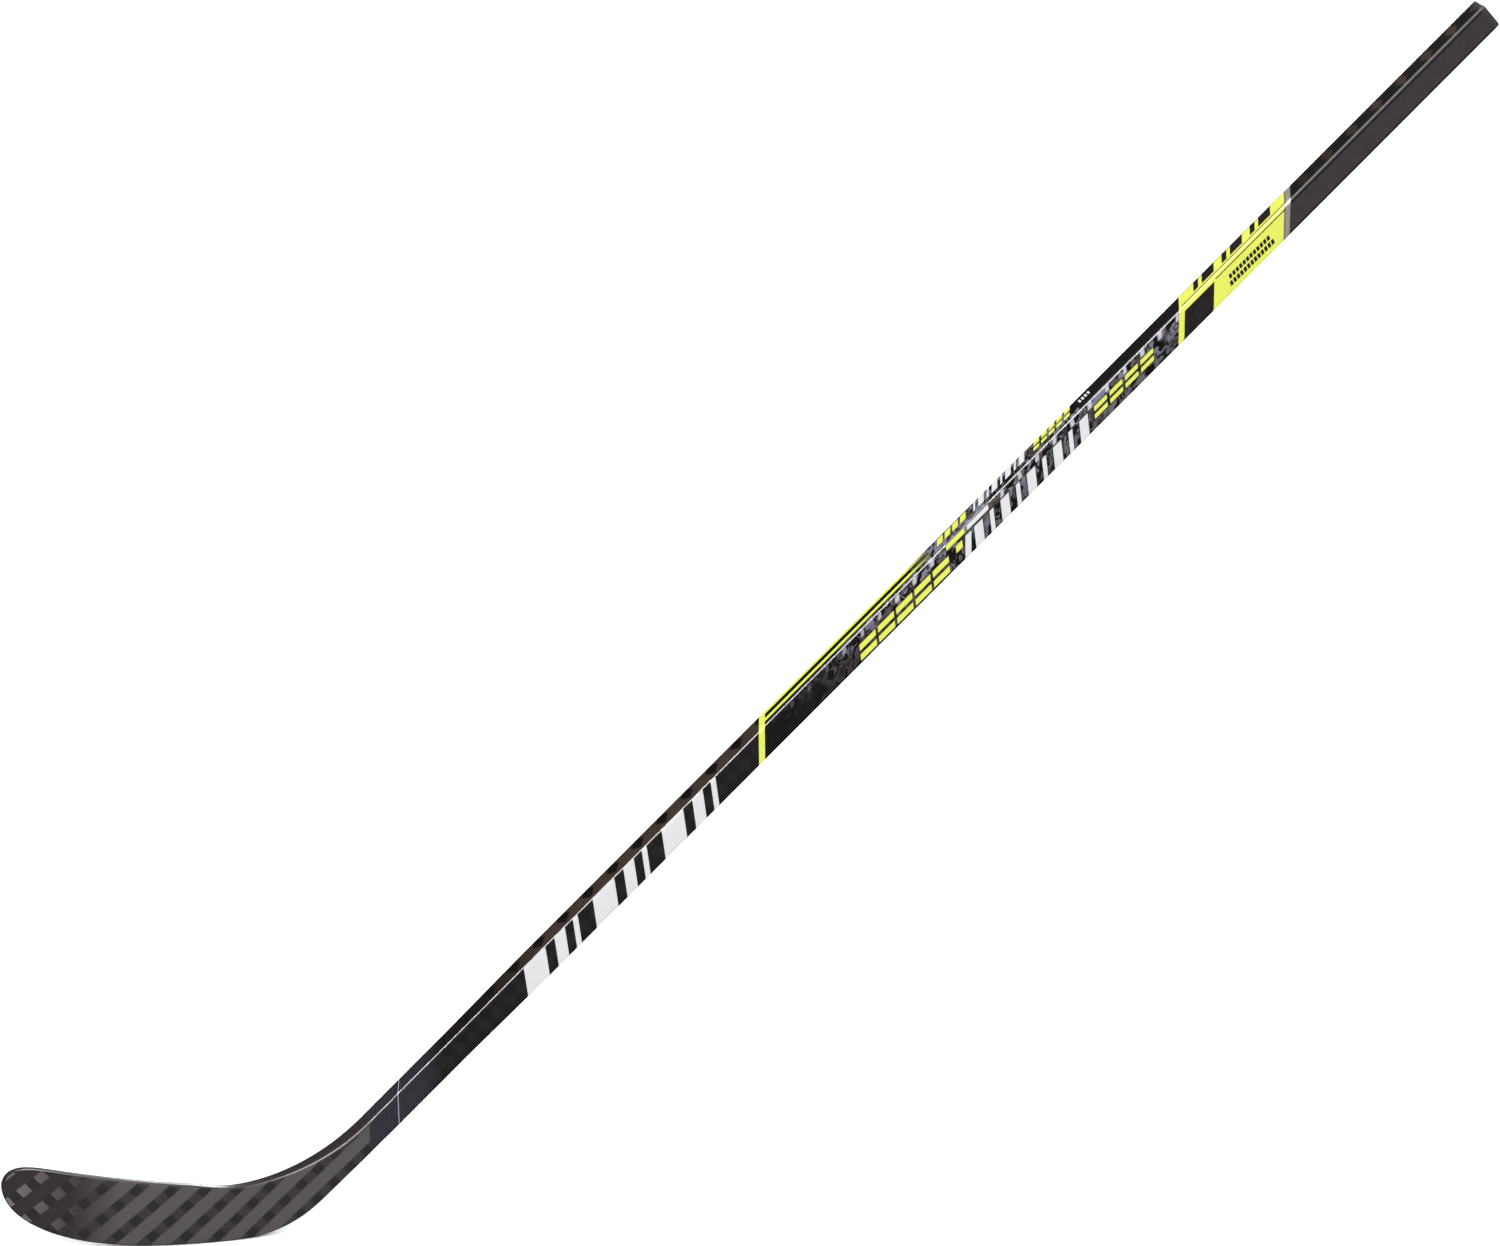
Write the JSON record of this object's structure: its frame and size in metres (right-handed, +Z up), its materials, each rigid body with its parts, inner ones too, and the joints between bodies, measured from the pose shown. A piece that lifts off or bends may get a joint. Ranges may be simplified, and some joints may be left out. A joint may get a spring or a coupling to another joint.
{
  "type": "ice hockey stick",
  "caption": "Senior composite ice hockey stick: a hollow tapered shaft with a bonded, curved foam-cored blade, patterned wraps and a butt plug.",
  "frame": {"origin": "on the shaft's axis at the middle of the top hand, 60 mm down from the butt end", "axes": "the stick stands as in play: +X towards the player and away from the toe, +Y towards the forehand side that the blade curves to, +Z up from the ice; the shaft rises at 45 degrees in the XZ plane"},
  "size_m": [1.3292, 0.0619, 1.0965],
  "materials": {
    "shaft_carbon": "gloss",
    "plug_plastic": "satin",
    "hot_melt": "satin",
    "tenon_composite": "matte",
    "grip_coating": "matte",
    "silver_print": "gloss",
    "yellow_print": "gloss",
    "white_print": "gloss",
    "camouflage_print": "gloss",
    "black_print": "gloss",
    "joint_carbon": "gloss",
    "blade_carbon": "satin",
    "rail_carbon": "satin",
    "dense_foam": "matte",
    "core_foam": "matte"
  },
  "bodies": {
    "root": {"shaft_tube": "shaft_carbon", "butt_plug": "plug_plastic", "butt_plug_glue": "hot_melt", "tenon": "tenon_composite", "tenon_glue": "hot_melt", "grip_coat": "grip_coating", "silver_band": "silver_print", "upper_wrap": "yellow_print", "midshaft_wrap": "camouflage_print", "lower_band": "yellow_print", "lower_wrap": "black_print", "joint_wrap": "joint_carbon", "backhand_skin": "blade_carbon", "forehand_skin": "blade_carbon", "top_rail": "rail_carbon", "bottom_rail": "rail_carbon", "hosel_core": "dense_foam", "upper_core": "core_foam", "lower_core": "core_foam", "core_rib": "tenon_composite"}
  },
  "joints": []
}
